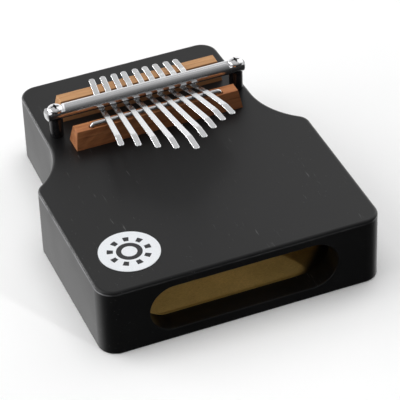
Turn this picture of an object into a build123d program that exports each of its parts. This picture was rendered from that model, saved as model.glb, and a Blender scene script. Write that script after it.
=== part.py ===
from build123d import *
import math
import os

# Box mbira: a black resonator box with nine steel tines held down by a nickel bar.
# Frame: +X along the bars to the player's right, +Y from the sound slot to the rear, +Z up.
# Origin: centre of the bottom face, on the middle of the box's length. Millimetres.

# ---- resonator box ----------------------------------------------------------
BOX_LENGTH = 180.0
BOX_WIDTH = 150.2
BOX_HEIGHT = 38.7
PLATE_THICK = 4.0
WALL_THICK = 12.3
SHOULDER_Y = 3.6
SHOULDER_SLOPE = 0.81
NECK_HALF_REAR = 55.8
NECK_TAPER = 0.025
FRONT_CORNER_R = 9.6
SHOULDER_R = 7.8
WAIST_R = 39.5
REAR_CORNER_R = 9.5
TOP_EDGE_R = 1.8
BOTTOM_EDGE_R = 0.5
CAVITY_CORNER_R = 5.0

SLOT_LENGTH = 100.5
SLOT_HEIGHT = 26.7
SLOT_EDGE_R = 0.6

# ---- tine hardware: everything above the soundboard -------------------------
TOP = BOX_HEIGHT
HARDWARE_X = 1.0
BRIDGE_SLANT = 1.5

FRONT_BRIDGE_X = 1.35
FRONT_BRIDGE_Y = 30.6
FRONT_BRIDGE_HEIGHT = 9.8
FRONT_BRIDGE_HALF = 46.5
REAR_BRIDGE_X = 1.6
REAR_BRIDGE_Y = 58.0
REAR_BRIDGE_HEIGHT = 11.2
REAR_BRIDGE_HALF = 45.9
BRIDGE_FOOT = 11.7
BRIDGE_TOP = 6.8

ROD_D = 2.5
ROD_Y = 29.3
ROD_HALF = 37.1
ROD_LEG = 7.5
ROD_BEND_R = 1.7
ROD_HOLE_D = 3.4

# round bar with domed ends, spot-faced above for the screw heads and below for the posts
BAR_D = 7.5
BAR_X = 0.6
BAR_Y = 43.2
BAR_Z = TOP + 13.95
BAR_HALF = 56.3
BAR_DOME = 1.4
BAR_EDGE_R = 0.5
SEAT_Z = TOP + 15.7
SEAT_D = 11.0
POST_SEAT_Z = TOP + 11.3
POST_SEAT_D = 7.8

SCREW_SPAN = 101.4
SCREW_D = 4.0
SCREW_LENGTH = 25.0
SCREW_HEAD_D = 8.0
SCREW_HEAD_RIM = 0.7
SCREW_HEAD_HEIGHT = 2.3
SCREW_GAP = 0.1
HOLE_D = 4.6
POST_D = 7.4
INSERT_D = 5.6
INSERT_LENGTH = 8.0
INSERT_BORE_D = 4.16
SCREW_WELL = 4.0

# ---- tines ------------------------------------------------------------------
TINE_COUNT = 9
TINE_WIDTH = 3.2
TINE_THICK = 1.0
TINE_X = 1.7
TINE_PITCH = 6.92
TINE_FAN = 0.03
TINE_RISE = 0.193
TINE_TIP_DROP = 0.03
TINE_CURVE_R = 8.0
TINE_TAIL_Y = 64.3
TINE_TAIL_STEP = -0.2
TINE_TAIL_Z = TOP + 13.3
# upper surface of a tine where it crosses the rod, the bar and the rear bridge's front edge
ROD_TOP = TOP + FRONT_BRIDGE_HEIGHT + ROD_D
TINE_OVER_ROD = ROD_TOP + 0.2 + TINE_THICK
TINE_UNDER_BAR = BAR_Z - BAR_D / 2 - 0.35
TINE_UNDER_RUN = 1.8
TINE_OVER_BRIDGE = TOP + REAR_BRIDGE_HEIGHT + 1.35
TIP_CHAMFER = 0.9
TINE_EDGE_R = 0.38
# each tine's own sideways setting, where it bends level and where it ends,
# from the left tine to the right one
TINE_SHIFT = (-0.2, 0.05, 0.25, -0.15, 0.3, -0.05, -0.15, -0.1, -0.7)
TINE_BEND_Y = (6.0, 2.5, -5.3, -11.7, -15.1, -7.7, -1.5, 5.6, 8.6)
TINE_END_Y = (-2.5, -7.2, -14.7, -20.8, -26.0, -17.0, -10.3, -4.2, -0.5)

BADGE_D = 31.0
BADGE_THICK = 0.25
BADGE_X = -50.0
BADGE_Y = -63.0

SIDES = {"left": HARDWARE_X - SCREW_SPAN / 2, "right": HARDWARE_X + SCREW_SPAN / 2}

os.makedirs("parts", exist_ok=True)


def body_plan():
    """Half outlines mirrored: wide front, angular shoulders, hollow waist and tapered rear neck."""
    half = BOX_WIDTH / 2
    front, rear = -BOX_LENGTH / 2, BOX_LENGTH / 2
    # the neck's side line meets the shoulder's line at the waist corner
    run = (half - NECK_HALF_REAR - NECK_TAPER * (rear - SHOULDER_Y)) / (1 - NECK_TAPER * SHOULDER_SLOPE)
    waist = (half - run, SHOULDER_Y + SHOULDER_SLOPE * run)
    right = [(half, front), (half, SHOULDER_Y), waist, (NECK_HALF_REAR, rear)]
    left = [(-x, y) for x, y in reversed(right)]
    with BuildSketch() as plan:
        Polygon(*right, *left, align=None)
        radii = (FRONT_CORNER_R, SHOULDER_R, WAIST_R, REAR_CORNER_R)
        for (x, y), radius in zip(right, radii):
            pair = [v for v in plan.vertices() if abs(abs(v.X) - x) < 0.01 and abs(v.Y - y) < 0.01]
            fillet(pair, radius)
    return plan.sketch


def bridge_block(half, middle_x, middle_y, height):
    """Hardwood bridge with sloped sides and slightly sloped ends."""
    with BuildPart() as block:
        with BuildSketch(Plane.XY.offset(TOP)):
            with Locations((middle_x, middle_y)):
                Rectangle(2 * half, BRIDGE_FOOT)
        with BuildSketch(Plane.XY.offset(TOP + height)):
            with Locations((middle_x, middle_y)):
                Rectangle(2 * (half - BRIDGE_SLANT), BRIDGE_TOP)
        loft(ruled=True)
        upper = block.edges().group_by(Axis.Z)[-1]
        fillet(upper, 0.4)
    return block.part


def save(part, name):
    """Label a finished piece and write its STEP."""
    part.label = name
    export_step(part, f"parts/{name}.step")


outline = body_plan()

# Rim of the box: thick side walls, with the sound slot through the front wall
# and a blind hole for each threaded insert.
with BuildPart() as side_frame:
    with BuildSketch(Plane.XY.offset(PLATE_THICK)) as rim:
        add(outline)
        with BuildSketch(mode=Mode.PRIVATE) as cavity:
            add(outline)
            offset(amount=-WALL_THICK, kind=Kind.INTERSECTION)
            fillet(cavity.vertices().group_by(Axis.Y)[0], CAVITY_CORNER_R)
        add(cavity.sketch, mode=Mode.SUBTRACT)
    extrude(amount=BOX_HEIGHT - 2 * PLATE_THICK)
    with BuildSketch(Plane.XZ.offset(BOX_LENGTH / 2)) as slot:
        with Locations((0, BOX_HEIGHT / 2)):
            SlotOverall(SLOT_LENGTH, SLOT_HEIGHT)
    extrude(amount=-WALL_THICK - 1, mode=Mode.SUBTRACT)
    front_face = side_frame.faces().filter_by(Axis.Y).sort_by(Axis.Y)[0]
    fillet(front_face.inner_wires().edges(), SLOT_EDGE_R)
    with BuildSketch(Plane.XY.offset(BOX_HEIGHT - PLATE_THICK)):
        with Locations(*[(x, BAR_Y) for x in SIDES.values()]):
            Circle(INSERT_D / 2)
    extrude(amount=-INSERT_LENGTH, mode=Mode.SUBTRACT)
    with BuildSketch(Plane.XY.offset(BOX_HEIGHT - PLATE_THICK - INSERT_LENGTH)):
        with Locations(*[(x, BAR_Y) for x in SIDES.values()]):
            Circle(INSERT_BORE_D / 2)
    extrude(amount=-SCREW_WELL, mode=Mode.SUBTRACT)
save(side_frame.part, "side_frame")

# Soundboard: glued on the rim, rounded along its upper edge.
with BuildPart() as soundboard:
    with BuildSketch(Plane.XY.offset(BOX_HEIGHT - PLATE_THICK)):
        add(outline)
    extrude(amount=PLATE_THICK)
    fillet(soundboard.faces().sort_by(Axis.Z)[-1].edges(), TOP_EDGE_R)
    with BuildSketch(Plane.XY.offset(BOX_HEIGHT)):
        with Locations(*[(x, BAR_Y) for x in SIDES.values()]):
            Circle(HOLE_D / 2)
    extrude(amount=-PLATE_THICK, mode=Mode.SUBTRACT)
save(soundboard.part, "soundboard")

# Back plate: closes the box below.
with BuildPart() as back_plate:
    with BuildSketch():
        add(outline)
    extrude(amount=PLATE_THICK)
    fillet(back_plate.faces().sort_by(Axis.Z)[0].edges(), BOTTOM_EDGE_R)
save(back_plate.part, "back_plate")

# Bridges: one behind the pressure bar, one in front that carries the rod.
front_block = bridge_block(FRONT_BRIDGE_HALF, FRONT_BRIDGE_X, FRONT_BRIDGE_Y, FRONT_BRIDGE_HEIGHT)
with BuildPart() as front_bridge:
    add(front_block)
    with BuildSketch(Plane.XY.offset(TOP + FRONT_BRIDGE_HEIGHT)):
        with Locations((HARDWARE_X, ROD_Y)):
            with GridLocations(2 * ROD_HALF - ROD_D, 0, 2, 1):
                Circle(ROD_HOLE_D / 2)
    extrude(amount=-ROD_LEG, mode=Mode.SUBTRACT)
save(front_bridge.part, "front_bridge")

with BuildPart() as rear_bridge:
    add(bridge_block(REAR_BRIDGE_HALF, REAR_BRIDGE_X, REAR_BRIDGE_Y, REAR_BRIDGE_HEIGHT))
save(rear_bridge.part, "rear_bridge")

# Saddle rod: a steel staple that lies on the front bridge, its ends bent down into holes.
with BuildPart() as saddle_rod:
    rod_z = ROD_TOP - ROD_D / 2
    left_x = HARDWARE_X - ROD_HALF + ROD_D / 2
    right_x = HARDWARE_X + ROD_HALF - ROD_D / 2
    foot_z = TOP + FRONT_BRIDGE_HEIGHT - ROD_LEG
    with BuildLine() as rod_path:
        FilletPolyline(
            (left_x, ROD_Y, foot_z),
            (left_x, ROD_Y, rod_z),
            (right_x, ROD_Y, rod_z),
            (right_x, ROD_Y, foot_z),
            radius=ROD_BEND_R,
        )
    with BuildSketch(Plane((left_x, ROD_Y, foot_z))):
        Circle(ROD_D / 2)
    sweep(path=rod_path.line)
save(saddle_rod.part, "saddle_rod")

# Pressure bar: a turned round bar with domed ends.
with BuildPart() as pressure_bar:
    bar_r = BAR_D / 2
    dome_r = (bar_r**2 + BAR_DOME**2) / (2 * BAR_DOME)
    half_angle = math.asin(bar_r / dome_r) / 2
    dome_mid = (dome_r * (1 - math.cos(half_angle)), dome_r * math.sin(half_angle))
    left_tip, right_tip = BAR_X - BAR_HALF, BAR_X + BAR_HALF
    with BuildSketch(Plane((0, BAR_Y, BAR_Z), x_dir=(1, 0, 0), z_dir=(0, -1, 0))):
        with BuildLine():
            ThreePointArc((left_tip, 0), (left_tip + dome_mid[0], dome_mid[1]), (left_tip + BAR_DOME, bar_r))
            Line((left_tip + BAR_DOME, bar_r), (right_tip - BAR_DOME, bar_r))
            ThreePointArc((right_tip - BAR_DOME, bar_r), (right_tip - dome_mid[0], dome_mid[1]), (right_tip, 0))
            Line((right_tip, 0), (left_tip, 0))
        make_face()
    revolve(axis=Axis((0, BAR_Y, BAR_Z), (1, 0, 0)))
    fillet(pressure_bar.edges().filter_by(GeomType.CIRCLE), BAR_EDGE_R)
    with BuildSketch(Plane.XY.offset(SEAT_Z)):
        for side, x in zip((-1, 1), SIDES.values()):
            with Locations((x, BAR_Y)):
                Circle(SEAT_D / 2)
            with Locations((x + side * SEAT_D / 2, BAR_Y)):
                Rectangle(SEAT_D, SEAT_D)
    extrude(amount=BAR_D, mode=Mode.SUBTRACT)
    with BuildSketch(Plane.XY.offset(POST_SEAT_Z)):
        with Locations(*[(x, BAR_Y) for x in SIDES.values()]):
            Circle(POST_SEAT_D / 2)
    extrude(amount=-BAR_D, mode=Mode.SUBTRACT)
    with BuildSketch(Plane.XY.offset(POST_SEAT_Z)):
        with Locations(*[(x, BAR_Y) for x in SIDES.values()]):
            Circle(HOLE_D / 2)
    extrude(amount=BAR_D, mode=Mode.SUBTRACT)
save(pressure_bar.part, "pressure_bar")

for side_name, screw_x in SIDES.items():
    # Spacer post: keeps the bar off the soundboard.
    with BuildPart() as post:
        with BuildSketch(Plane.XY.offset(TOP)):
            with Locations((screw_x, BAR_Y)):
                Circle(POST_D / 2)
                Circle(HOLE_D / 2, mode=Mode.SUBTRACT)
        extrude(amount=POST_SEAT_Z - TOP)
    save(post.part, f"post_{side_name}")

    # Threaded insert: brass nut let into the rim below the soundboard.
    with BuildPart() as insert:
        with BuildSketch(Plane.XY.offset(BOX_HEIGHT - PLATE_THICK)):
            with Locations((screw_x, BAR_Y)):
                Circle(INSERT_D / 2)
                Circle(INSERT_BORE_D / 2, mode=Mode.SUBTRACT)
        extrude(amount=-INSERT_LENGTH)
    save(insert.part, f"threaded_insert_{side_name}")

    # Clamp screw: pan head with a cross recess, on a shank that reaches into the insert.
    head_z = SEAT_Z + SCREW_GAP
    head_r = SCREW_HEAD_D / 2
    with BuildPart() as screw:
        with BuildSketch(Plane.XZ.offset(-BAR_Y)):
            with BuildLine():
                Polyline(
                    (screw_x, head_z + SCREW_HEAD_HEIGHT),
                    (screw_x, head_z - SCREW_LENGTH),
                    (screw_x + SCREW_D / 2 - 0.5, head_z - SCREW_LENGTH),
                    (screw_x + SCREW_D / 2, head_z - SCREW_LENGTH + 0.5),
                    (screw_x + SCREW_D / 2, head_z),
                    (screw_x + head_r, head_z),
                    (screw_x + head_r, head_z + SCREW_HEAD_RIM),
                )
                EllipticalCenterArc(
                    (screw_x, head_z + SCREW_HEAD_RIM),
                    head_r,
                    SCREW_HEAD_HEIGHT - SCREW_HEAD_RIM,
                    start_angle=0,
                    arc_size=90,
                )
            make_face()
        revolve(axis=Axis((screw_x, BAR_Y, 0), (0, 0, 1)))
        with BuildSketch(Plane.XY.offset(head_z + SCREW_HEAD_HEIGHT)):
            with Locations((screw_x, BAR_Y)):
                Rectangle(4.4, 1.0)
                Rectangle(1.0, 4.4)
                Circle(1.0)
        extrude(amount=-1.6, taper=12, mode=Mode.SUBTRACT)
    save(screw.part, f"clamp_screw_{side_name}")

# Tines: flat spring-steel tongues, fanned towards the front. Each one lies over the rear
# bridge, dips under the bar, rises over the rod and bends level at its playing end.
for number in range(1, TINE_COUNT + 1):
    step = number - (TINE_COUNT + 1) / 2
    pivot_x = TINE_X + step * TINE_PITCH + TINE_SHIFT[number - 1]
    fan = math.atan(step * TINE_FAN)
    stretch = 1 / math.cos(fan)
    bridge_edge = REAR_BRIDGE_Y - BRIDGE_TOP / 2
    bend_y, end_y = TINE_BEND_Y[number - 1], TINE_END_Y[number - 1]
    bend_z = TINE_OVER_ROD + TINE_RISE * (ROD_Y - bend_y)
    end_z = bend_z - TINE_TIP_DROP * (bend_y - end_y)
    upper = [
        (TINE_TAIL_Y + TINE_TAIL_STEP * step, TINE_TAIL_Z),
        (bridge_edge, TINE_OVER_BRIDGE),
        (BAR_Y + TINE_UNDER_RUN, TINE_UNDER_BAR),
        (BAR_Y - TINE_UNDER_RUN, TINE_UNDER_BAR),
        (ROD_Y, TINE_OVER_ROD),
        (bend_y, bend_z),
        (end_y, end_z),
    ]
    # side view, in the upright plane through the tine's own centre line
    side_view = Plane(
        (pivot_x, ROD_Y, 0),
        x_dir=(-math.sin(fan), math.cos(fan), 0),
        z_dir=(math.cos(fan), math.sin(fan), 0),
    )
    middle = [((y - ROD_Y) * stretch, z - TINE_THICK / 2) for y, z in upper]
    with BuildPart() as tine:
        with BuildSketch(side_view):
            with BuildLine():
                FilletPolyline(*middle, radius=TINE_CURVE_R)
            trace(line_width=TINE_THICK)
        extrude(amount=TINE_WIDTH / 2, both=True)
        tip_face = tine.faces().sort_by(Axis.Y)[0]
        chamfer([e for e in tip_face.edges() if e.length < TINE_WIDTH / 2], TIP_CHAMFER)
        tail_face = tine.faces().sort_by(Axis.Y)[-1]
        fillet([e for e in tail_face.edges() if e.length < TINE_WIDTH / 2], TINE_WIDTH / 2 - 0.2)
        # the long edges are rolled round; the creases across the tine and its corners stay
        across = side_view.z_dir
        rim = [e for e in tine.edges() if abs((e @ 1 - e @ 0).normalized().dot(across)) < 0.9]
        fillet([e for e in rim if e.length > TINE_THICK + 0.1], TINE_EDGE_R)
    save(tine.part, f"tine_{number}")

# Badge: a thin round sticker on the soundboard's left front.
with BuildPart() as badge:
    with BuildSketch(Plane.XY.offset(TOP)):
        with Locations((BADGE_X, BADGE_Y)):
            Circle(BADGE_D / 2)
    extrude(amount=BADGE_THICK)
save(badge.part, "badge")
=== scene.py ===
import math

import bpy
from mathutils import Euler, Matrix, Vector


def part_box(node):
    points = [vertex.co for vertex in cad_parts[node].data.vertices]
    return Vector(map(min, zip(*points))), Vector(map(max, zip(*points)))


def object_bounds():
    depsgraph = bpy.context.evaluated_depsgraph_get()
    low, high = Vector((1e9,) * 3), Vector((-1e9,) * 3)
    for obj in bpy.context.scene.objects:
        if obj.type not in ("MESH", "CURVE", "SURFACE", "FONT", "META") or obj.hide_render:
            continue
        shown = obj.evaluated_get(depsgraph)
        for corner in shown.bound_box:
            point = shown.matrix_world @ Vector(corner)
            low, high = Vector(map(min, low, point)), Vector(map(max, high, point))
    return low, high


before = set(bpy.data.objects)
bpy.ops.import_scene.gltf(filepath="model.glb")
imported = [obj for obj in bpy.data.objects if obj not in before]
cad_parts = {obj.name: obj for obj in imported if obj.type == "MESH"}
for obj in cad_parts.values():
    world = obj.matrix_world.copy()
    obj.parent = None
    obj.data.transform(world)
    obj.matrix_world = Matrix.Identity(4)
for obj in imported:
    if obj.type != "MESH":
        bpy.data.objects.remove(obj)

# Box mbira: materials, floor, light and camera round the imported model, in metres.

CAD_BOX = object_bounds()
MM = 0.001

# ---- places read from the frame -----------------------------------------------------
BOX_LO, BOX_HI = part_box("side_frame")
TOP_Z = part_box("soundboard")[1].z
BADGE_LO, BADGE_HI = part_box("badge")
BADGE_MIDDLE = (BADGE_LO + BADGE_HI) / 2
BADGE_RADIUS = (BADGE_HI.x - BADGE_LO.x) / 2
TINES = [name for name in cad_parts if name.startswith("tine_")]
SIDES = ("left", "right")

# limits that run between the box's outer skin and its chamber's walls
INSIDE_FRONT_Y = BOX_LO.y + 12 * MM
INSIDE_REAR_Y = BOX_HI.y - 12 * MM
INSIDE_HALF_FRONT = 67 * MM
INSIDE_HALF_NECK = 53 * MM
SHOULDER_START_Y = 2 * MM
SHOULDER_END_Y = 22 * MM

# painted shadow on the raw board gets darker along this direction in plan
PAINTED_SHADOW_X = 0.72
PAINTED_SHADOW_Y = -0.69
PAINTED_SHADOW_START = 75 * MM
PAINTED_SHADOW_FULL = 81 * MM

# the painted highlight line along the upper edge: its drop below the soundboard's top, and how far
# to either side it is full and has faded out
EDGE_LINE_DROP = 1.5 * MM
EDGE_LINE_FULL = 0.15 * MM
EDGE_LINE_FADED = 0.55 * MM

# screw heads: the dome's rise over the rim, the share of the radius within which the cross
# lies, and how deep in it the painted shade starts and is full
DOME_RISE = 1.6 * MM
CROSS_REACH = 0.648
RECESS_SHADE_START = 0.05 * MM
RECESS_SHADE_FULL = 0.45 * MM

# the sticker's print: middles and half widths as shares of its radius
RING_AT, RING_HALF = 0.34, 0.085
PETALS_AT, PETALS_HALF = 0.62, 0.10
PETAL_COUNT = 9
# where a wave round the sticker is over this, from -1 to 1, there is a petal
PETAL_CUT = 0.25


# ---- node helpers -------------------------------------------------------------------
class Nodes:
    """A node tree with short calls for the nodes that this script uses."""

    def __init__(self, owner, shader_type="BSDF_PRINCIPLED"):
        """owner: the material or world whose tree it is."""
        owner.use_nodes = True
        self.owner = owner
        self.tree = owner.node_tree
        self.shader = next(n for n in self.tree.nodes if n.type == shader_type)

    def link(self, value, socket):
        """Sets a socket from another node's output, or from a plain number or colour."""
        if isinstance(value, bpy.types.NodeSocket):
            self.tree.links.new(value, socket)
        elif socket.type == "RGBA":
            socket.default_value = (*value, 1.0)
        else:
            socket.default_value = value

    def coords(self, kind="Object"):
        """Object: position in the shared frame, in metres. Generated: direction in a world."""
        return self.tree.nodes.new("ShaderNodeTexCoord").outputs[kind]

    def split(self, vector):
        node = self.tree.nodes.new("ShaderNodeSeparateXYZ")
        self.link(vector, node.inputs[0])
        return node.outputs

    def facing(self):
        """The x, y and z parts of the direction that the surface faces."""
        return self.split(self.tree.nodes.new("ShaderNodeNewGeometry").outputs["Normal"])

    def stretch(self, vector, scale, turn=(0, 0, 0)):
        """Coordinates scaled along each axis: a pattern gets longer where the scale is small."""
        node = self.tree.nodes.new("ShaderNodeMapping")
        self.link(vector, node.inputs["Vector"])
        node.inputs["Scale"].default_value = scale
        node.inputs["Rotation"].default_value = turn
        return node.outputs[0]

    def noise(self, vector, scale, detail, roughness, distortion=0.0):
        node = self.tree.nodes.new("ShaderNodeTexNoise")
        self.link(vector, node.inputs["Vector"])
        node.inputs["Scale"].default_value = scale
        node.inputs["Detail"].default_value = detail
        node.inputs["Roughness"].default_value = roughness
        node.inputs["Distortion"].default_value = distortion
        return node.outputs["Fac"]

    def cells(self, vector, scale):
        node = self.tree.nodes.new("ShaderNodeTexVoronoi")
        self.link(vector, node.inputs["Vector"])
        node.inputs["Scale"].default_value = scale
        return node.outputs["Distance"]

    def math(self, kind, a, b=0.0):
        node = self.tree.nodes.new("ShaderNodeMath")
        node.operation = kind
        self.link(a, node.inputs[0])
        self.link(b, node.inputs[1])
        return node.outputs[0]

    def product(self, result, *factors):
        """All the values multiplied together."""
        for factor in factors:
            result = self.math("MULTIPLY", result, factor)
        return result

    def squares(self, a, b):
        """The sum of two values' squares."""
        return self.math("ADD", self.product(a, a), self.product(b, b))

    def gap(self, a, b):
        """How far two values are apart."""
        return self.math("ABSOLUTE", self.math("SUBTRACT", a, b))

    def near(self, value, middle, reach):
        """1 where a value is within reach of the middle, else 0."""
        return self.math("LESS_THAN", self.gap(value, middle), reach)

    def remap(self, value, low, high, to_low=0.0, to_high=1.0, smooth=False):
        """Carries low..high over to to_low..to_high, held at both ends."""
        node = self.tree.nodes.new("ShaderNodeMapRange")
        node.interpolation_type = "SMOOTHSTEP" if smooth else "LINEAR"
        self.link(value, node.inputs["Value"])
        node.inputs["From Min"].default_value = low
        node.inputs["From Max"].default_value = high
        node.inputs["To Min"].default_value = to_low
        node.inputs["To Max"].default_value = to_high
        return node.outputs[0]

    def mix(self, fac, a, b):
        """Colour a where fac is 0, and b where it is 1."""
        node = self.tree.nodes.new("ShaderNodeMix")
        node.data_type = "RGBA"
        self.link(fac, node.inputs[0])
        self.link(a, node.inputs[6])
        self.link(b, node.inputs[7])
        return node.outputs[2]

    def ramp(self, fac, stops):
        """Colour by a value. stops: (place, colour) pairs in rising order."""
        node = self.tree.nodes.new("ShaderNodeValToRGB")
        self.link(fac, node.inputs[0])
        elements = node.color_ramp.elements
        while len(elements) < len(stops):
            elements.new(0.5)
        for element, (place, colour) in zip(elements, stops):
            element.position = place
            element.color = (*colour, 1.0)
        return node.outputs[0]

    def bump(self, height, strength, distance):
        node = self.tree.nodes.new("ShaderNodeBump")
        node.inputs["Strength"].default_value = strength
        node.inputs["Distance"].default_value = distance
        self.link(height, node.inputs["Height"])
        return node.outputs[0]

    def set(self, **values):
        """Sets the shader's sockets, where base_color means Base Color, and gives the owner."""
        for key, value in values.items():
            name = key.replace("_", " ").title().replace("Ior", "IOR")
            self.link(value, self.shader.inputs[name])
        return self.owner


def new_material(name):
    return Nodes(bpy.data.materials.new(name))


# ---- materials ----------------------------------------------------------------------
def raw_board(n, xyz):
    """Colour of the unpainted inside: yellow-brown board with fine fibres and blotches,
    and a painted shadow that darkens it to black behind the right end of the slot."""
    fibres = n.noise(n.stretch(xyz, (1, 3.5, 3.5)), 900, 3, 0.6)
    blotches = n.noise(xyz, 55, 3, 0.5)
    warm = n.ramp(blotches, [(0.3, (0.54, 0.38, 0.125)), (0.7, (0.68, 0.47, 0.165))])
    board = n.mix(n.remap(fibres, 0.35, 0.7, 0.0, 0.55), warm, (0.30, 0.20, 0.065))
    x, y, _ = n.split(xyz)
    along = n.math("ADD", n.product(x, PAINTED_SHADOW_X), n.product(y, PAINTED_SHADOW_Y))
    # painted shadow: the board fades to black towards the slot's right end
    painted_shadow = n.remap(along, PAINTED_SHADOW_START, PAINTED_SHADOW_FULL, 0.0, 0.97, smooth=True)
    return n.mix(painted_shadow, board, (0.004, 0.004, 0.004))


def black_coat(n, xyz, cloud):
    """Colour of the black lacquer: cloudy polish, patches of hairline marks and sparse dust."""
    black = n.ramp(cloud, [(0.3, (0.0032, 0.0032, 0.0035)), (0.7, (0.0050, 0.0050, 0.0054))])
    strokes = n.noise(n.stretch(xyz, (1, 0.09, 1), (0, 0, math.radians(7))), 900, 2, 0.7)
    handled = n.remap(n.noise(xyz, 34, 2, 0.5), 0.48, 0.60)
    hairlines = n.product(n.remap(strokes, 0.66, 0.72), handled)
    marked = n.mix(n.product(hairlines, 0.60), black, (0.10, 0.10, 0.10))
    nibs = n.remap(n.cells(xyz, 520), 0.0, 0.16, 1.0, 0.0)
    sparse = n.remap(n.noise(xyz, 120, 1, 0.4), 0.60, 0.68)
    return n.mix(n.product(nibs, sparse, 0.45), marked, (0.16, 0.16, 0.16))


def painted_edge_highlight(n, xyz, z, facing_x):
    """Painted highlight: how light a fine line is where the upper edge turns into
    the walls. It is strongest on the long sides."""
    off_line = n.gap(z, TOP_Z - EDGE_LINE_DROP)
    line = n.remap(off_line, EDGE_LINE_FULL, EDGE_LINE_FADED, 1.0, 0.0, smooth=True)
    uneven = n.remap(n.noise(xyz, 70, 3, 0.6), 0.35, 0.60, 0.35, 0.90)
    on_sides = n.remap(n.math("ABSOLUTE", facing_x), 0.3, 0.8, 0.12, 1.0)
    return n.product(line, uneven, on_sides)


def inside_box(n, x, y):
    """1 within the chamber's plan, else 0."""
    half = n.remap(y, SHOULDER_START_Y, SHOULDER_END_Y, INSIDE_HALF_FRONT, INSIDE_HALF_NECK)
    within_x = n.math("LESS_THAN", n.math("ABSOLUTE", x), half)
    behind_front = n.math("GREATER_THAN", y, INSIDE_FRONT_Y)
    before_rear = n.math("LESS_THAN", y, INSIDE_REAR_Y)
    return n.product(within_x, behind_front, before_rear)


def lacquer(name, inside):
    """Satin black lacquer over wood, with raw board on the side that faces the chamber.

    inside: "walls", "upper_face" or "lower_face", the part of the piece that faces it."""
    n = new_material(name)
    xyz = n.coords()
    x, y, z = n.split(xyz)
    facing_x, _, facing_z = n.facing()

    cloud = n.noise(xyz, 22, 3, 0.5)
    edge_highlight = painted_edge_highlight(n, xyz, z, facing_x)
    # painted highlight: the edge line lightens the lacquer's colour to grey
    coat = n.mix(edge_highlight, black_coat(n, xyz, cloud), (0.26, 0.26, 0.27))

    raw = inside_box(n, x, y)
    if inside == "upper_face":
        raw = n.product(raw, n.math("GREATER_THAN", facing_z, 0.9))
    if inside == "lower_face":
        raw = n.product(raw, n.math("LESS_THAN", facing_z, -0.9))

    pores = n.noise(n.stretch(xyz, (1, 0.06, 1)), 1500, 2, 0.6)
    shine = n.remap(cloud, 0.3, 0.7, 0.33, 0.42)
    return n.set(
        base_color=n.mix(raw, coat, raw_board(n, xyz)),
        roughness=n.math("MAXIMUM", shine, n.product(raw, 0.85)),
        specular_ior_level=0.39,
        normal=n.bump(n.math("ADD", n.product(pores, 0.6), n.product(cloud, 1.2)), 0.16, 0.05 * MM),
    )


def bridge_wood(name, pale, deep, pore, front_shade):
    """Oiled hardwood with its grain along the bridge and darker pores.

    front_shade: painted shade, how far the forward face is darkened, from 0 to 1."""
    n = new_material(name)
    xyz = n.coords()
    bands = n.noise(n.stretch(xyz, (0.10, 1, 1)), 420, 5, 0.62, 0.6)
    streaks = n.noise(n.stretch(xyz, (0.035, 1, 1)), 1500, 3, 0.7)
    patches = n.noise(n.stretch(xyz, (0.4, 1, 1)), 90, 3, 0.5)
    middle = tuple((a + b) / 2 for a, b in zip(pale, deep))
    tone = n.ramp(bands, [(0.32, deep), (0.5, middle), (0.68, pale)])
    patchy = n.mix(n.remap(patches, 0.35, 0.7, 0.0, 0.45), tone, deep)
    pores = n.remap(streaks, 0.58, 0.70, 0.0, 0.75)
    grain = n.mix(pores, patchy, pore)
    facing_y = n.facing()[1]
    return n.set(
        # painted shade: faces that turn forward are darkened
        base_color=n.mix(n.remap(facing_y, -0.5, -0.9, 0.0, front_shade), grain, pore),
        roughness=n.remap(bands, 0.3, 0.7, 0.42, 0.58),
        specular_ior_level=0.25,
        normal=n.bump(n.math("SUBTRACT", bands, n.product(pores, 0.8)), 0.35, 0.10 * MM),
    )


def steel(name, tone, rough, brush, along, strength):
    """Rolled or brushed metal: fine lines along the piece, cloudy polish, a few dull marks.

    brush: how fine the lines are. along: their stretch. strength: how deep they look."""
    n = new_material(name)
    xyz = n.coords()
    lines = n.noise(n.stretch(xyz, along), brush, 3, 0.65)
    cloud = n.noise(xyz, 160, 3, 0.5)
    marks = n.remap(n.noise(xyz, 900, 2, 0.6), 0.62, 0.72)
    dark = tuple(0.94 * c for c in tone)
    shade = n.math("ADD", n.product(lines, 0.7), n.product(cloud, 0.3))
    polish = n.remap(cloud, 0.3, 0.7, rough * 0.85, rough * 1.2)
    return n.set(
        base_color=n.ramp(shade, [(0.35, dark), (0.62, tone)]),
        metallic=1.0,
        roughness=n.math("ADD", polish, n.product(marks, 0.05)),
        normal=n.bump(lines, strength, 0.012 * MM),
    )


def screw_chrome(name, node):
    """Bright plating with old polish, and painted shade darkening the node's cross recess."""
    n = new_material(name)
    xyz = n.coords()
    x, y, z = n.split(xyz)
    lo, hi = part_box(node)
    middle = (lo + hi) / 2
    head_radius = (hi.x - lo.x) / 2
    share_x = n.math("DIVIDE", n.math("SUBTRACT", x, middle.x), head_radius)
    share_y = n.math("DIVIDE", n.math("SUBTRACT", y, middle.y), head_radius)
    share_squared = n.squares(share_x, share_y)
    # how deep a point lies under the domed top
    rise = n.math("SQRT", n.math("SUBTRACT", 1.0, n.math("MINIMUM", share_squared, 1.0)))
    fall = n.math("SUBTRACT", 1.0, rise)
    dome_z = n.math("SUBTRACT", hi.z, n.product(fall, DOME_RISE))
    depth = n.math("SUBTRACT", dome_z, z)
    in_cross = n.math("LESS_THAN", share_squared, CROSS_REACH**2)
    # painted shade: the cross recess darkens with its depth
    recess_shade = n.product(n.remap(depth, RECESS_SHADE_START, RECESS_SHADE_FULL), in_cross)
    haze = n.noise(xyz, 1400, 3, 0.6)
    plating = n.ramp(haze, [(0.35, (0.80, 0.80, 0.81)), (0.65, (0.87, 0.87, 0.88))])
    return n.set(
        base_color=n.mix(n.product(recess_shade, 0.9), plating, (0.05, 0.05, 0.052)),
        metallic=1.0,
        roughness=n.math("ADD", n.remap(haze, 0.3, 0.7, 0.06, 0.10), n.product(recess_shade, 0.3)),
        normal=n.bump(haze, 0.04, 0.01 * MM),
    )


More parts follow.
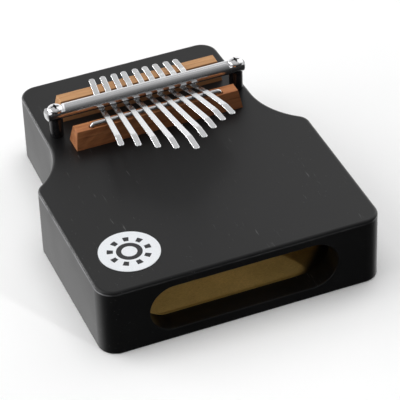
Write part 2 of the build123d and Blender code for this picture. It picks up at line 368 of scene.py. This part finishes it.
def black_post(name):
    """Smooth dark spacer with very fine turning lines round it."""
    n = new_material(name)
    xyz = n.coords()
    turning = n.noise(n.stretch(xyz, (0.02, 0.02, 1)), 2600, 2, 0.6)
    wear = n.noise(xyz, 300, 3, 0.6)
    return n.set(
        base_color=n.ramp(wear, [(0.35, (0.006, 0.006, 0.007)), (0.75, (0.016, 0.016, 0.018))]),
        roughness=n.remap(wear, 0.3, 0.7, 0.12, 0.20),
        specular_ior_level=0.5,
        normal=n.bump(turning, 0.12, 0.02 * MM),
    )


def badge_film(name):
    """Pale film sticker, printed with a plain ring and petals round it, and no lettering."""
    n = new_material(name)
    xyz = n.coords()
    x, y, _ = n.split(xyz)
    dx = n.math("SUBTRACT", x, BADGE_MIDDLE.x)
    dy = n.math("SUBTRACT", y, BADGE_MIDDLE.y)
    share = n.math("DIVIDE", n.math("SQRT", n.squares(dx, dy)), BADGE_RADIUS)
    angle = n.math("ARCTAN2", dy, dx)
    wave = n.math("COSINE", n.product(angle, PETAL_COUNT))
    petals = n.product(n.math("GREATER_THAN", wave, PETAL_CUT), n.near(share, PETALS_AT, PETALS_HALF))
    ink = n.math("MAXIMUM", n.near(share, RING_AT, RING_HALF), petals)
    grain = n.noise(xyz, 2600, 2, 0.6)
    film = n.ramp(grain, [(0.35, (0.67, 0.69, 0.715)), (0.7, (0.76, 0.78, 0.80))])
    return n.set(
        base_color=n.mix(ink, film, (0.02, 0.02, 0.022)),
        roughness=n.remap(grain, 0.3, 0.7, 0.30, 0.40),
        specular_ior_level=0.4,
        normal=n.bump(grain, 0.05, 0.01 * MM),
    )


def dress(node, material):
    """Gives a carried-over CAD node its material."""
    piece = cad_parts[node]
    if not piece.material_slots:
        piece.data.materials.append(material)
    for slot in piece.material_slots:
        slot.material = material


ALONG_X = (0.02, 1, 1)
ALONG_Y = (1, 0.02, 1)
EVEN = (1, 1, 1)

dress("side_frame", lacquer("lacquer_rim", "walls"))
dress("soundboard", lacquer("lacquer_top", "lower_face"))
dress("back_plate", lacquer("lacquer_back", "upper_face"))
dress("front_bridge", bridge_wood(
    "wood_front",
    pale=(0.52, 0.225, 0.092),
    deep=(0.29, 0.098, 0.036),
    pore=(0.08, 0.024, 0.008),
    front_shade=0.42,
))
dress("rear_bridge", bridge_wood(
    "wood_rear",
    pale=(0.57, 0.315, 0.145),
    deep=(0.41, 0.210, 0.090),
    pore=(0.22, 0.100, 0.042),
    front_shade=0.75,
))
tine_steel = steel("tine_steel", (0.83, 0.84, 0.85), 0.21, 2200, ALONG_Y, 0.03)
for tine in TINES:
    dress(tine, tine_steel)
dress("pressure_bar", steel("bar_nickel", (0.71, 0.71, 0.72), 0.18, 1800, ALONG_X, 0.06))
dress("saddle_rod", steel("rod_steel", (0.80, 0.80, 0.81), 0.16, 1800, ALONG_X, 0.03))
for side in SIDES:
    screw = f"clamp_screw_{side}"
    dress(screw, screw_chrome(f"{screw}_chrome", screw))
    dress(f"post_{side}", black_post(f"post_{side}_black"))
    brass = steel(f"insert_brass_{side}", (0.72, 0.50, 0.22), 0.25, 1200, EVEN, 0.1)
    dress(f"threaded_insert_{side}", brass)
dress("badge", badge_film("badge_film"))


# ---- floor --------------------------------------------------------------------------
FLOOR_SIZE = 8.0
FLOOR_GAP = 0.2 * MM


def make_floor():
    """A wide pale floor just under the object. Reflections show the surround instead of it."""
    bpy.ops.mesh.primitive_plane_add(size=FLOOR_SIZE, location=(0, 0, CAD_BOX[0].z - FLOOR_GAP))
    floor = bpy.context.object
    floor.name = "studio_floor"
    n = new_material("floor_paper")
    tone = n.noise(n.coords(), 6, 2, 0.5)
    paper = n.set(
        base_color=n.ramp(tone, [(0.3, (0.93, 0.93, 0.93)), (0.7, (0.95, 0.95, 0.95))]),
        roughness=0.9,
        specular_ior_level=0.1,
    )
    floor.data.materials.append(paper)
    floor.visible_glossy = False


make_floor()


# ---- surround -----------------------------------------------------------------------
# greys of the sky by height, and of the table by reach to the rear, each from -1 to 1
REAR_SKY = [(0.0, 1.0), (0.27, 0.84), (0.45, 0.55), (0.615, 0.48), (1.0, 0.46)]
FRONT_SKY = [(0.0, 0.04), (0.615, 0.14), (0.9, 0.26), (1.0, 0.46)]
TABLE = [(-1.0, 0.016), (-0.25, 0.03), (0.05, 0.28), (0.35, 0.83), (1.0, 0.83)]
SURROUND_STRENGTH = 1.25
SKY_BLEND = 0.35
HORIZON_BLEND = 0.04


def make_world():
    """Soft studio surround: bright low down behind the object, dim in front, and for
    reflections only a bright table behind the object and a dark one in front of it."""
    n = Nodes(bpy.data.worlds.new("studio"), "BACKGROUND")
    _, y, z = n.split(n.coords("Generated"))

    def greys(part, stops):
        """Grey by one part of the direction."""
        colours = [((place + 1) / 2, (grey, grey, grey)) for place, grey in stops]
        return n.ramp(n.remap(part, -1.0, 1.0), colours)

    sky = n.mix(n.remap(y, -SKY_BLEND, SKY_BLEND), greys(z, FRONT_SKY), greys(z, REAR_SKY))
    surround = n.mix(n.remap(z, -HORIZON_BLEND, HORIZON_BLEND), greys(y, TABLE), sky)
    bpy.context.scene.world = n.set(color=surround, strength=SURROUND_STRENGTH)


make_world()


# ---- lamps --------------------------------------------------------------------------
OBJECT_MIDDLE = (0, 0, 30 * MM)
SPOT_RADIUS = 80 * MM


def add_lamp(name, kind, place, aim, power):
    """Adds a lamp that the camera doesn't see, turned towards its aim."""
    lamp = bpy.data.objects.new(name, bpy.data.lights.new(name, kind))
    lamp.data.energy = power
    lamp.location = place
    lamp.rotation_mode = "QUATERNION"
    lamp.rotation_quaternion = (Vector(aim) - Vector(place)).to_track_quat("-Z", "Y")
    lamp.visible_camera = False
    bpy.context.scene.collection.objects.link(lamp)
    return lamp


def area_light(name, place, aim, width, height, power):
    """A soft rectangular light."""
    lamp = add_lamp(name, "AREA", place, aim, power)
    lamp.data.shape = "RECTANGLE"
    lamp.data.size = width
    lamp.data.size_y = height
    return lamp


def spot_light(name, place, aim, angle, power):
    """A narrow light with a soft rim, for lifting one small place."""
    lamp = add_lamp(name, "SPOT", place, aim, power)
    lamp.data.spot_size = angle
    lamp.data.spot_blend = 1.0
    lamp.data.shadow_soft_size = SPOT_RADIUS
    return lamp


area_light("key_left", (-1.2, 0.4, 0.75), OBJECT_MIDDLE, 1.6, 1.6, 12)
area_light("fill_right", (1.2, 0.5, 0.9), OBJECT_MIDDLE, 1.6, 1.6, 5)
# a low strip at the left rear draws the bright lines along the rounded left edges
area_light("rim_left", (-0.81, 0.93, 0.13), (0, 0, 50 * MM), 0.5, 0.16, 3)
# these two light only matt surfaces, so that neither shows in the bright metal
fill_above = area_light("fill_above", (0, 0.1, 2.0), OBJECT_MIDDLE, 1.5, 1.5, 15)
fill_above.visible_glossy = False
slot_aim = (-18 * MM, BOX_LO.y, 20 * MM)
slot_light = spot_light("slot_light", (0.5, -1.1, 0.62), slot_aim, math.radians(5.0), 56)
slot_light.visible_glossy = False


# ---- camera -------------------------------------------------------------------------
CAMERA_TURN = [math.radians(a) for a in (52.01, 1.82, -22.28)]
CAMERA_AIM = Vector((5.6, -17.0, 20.0)) * MM
CAMERA_DISTANCE = 1.2545
# lens and sensor in millimetres
CAMERA_LENS = 219.4
SENSOR_WIDTH = 36.0


def make_camera():
    """A long lens from the front left, looking down at the object."""
    data = bpy.data.cameras.new("camera")
    data.lens = CAMERA_LENS
    data.sensor_width = SENSOR_WIDTH
    camera = bpy.data.objects.new("camera", data)
    turn = Euler(CAMERA_TURN, "XYZ")
    camera.rotation_euler = turn
    camera.location = CAMERA_AIM + turn.to_matrix() @ Vector((0, 0, CAMERA_DISTANCE))
    bpy.context.scene.collection.objects.link(camera)
    bpy.context.scene.camera = camera


make_camera()
bpy.context.scene.view_settings.view_transform = "Standard"
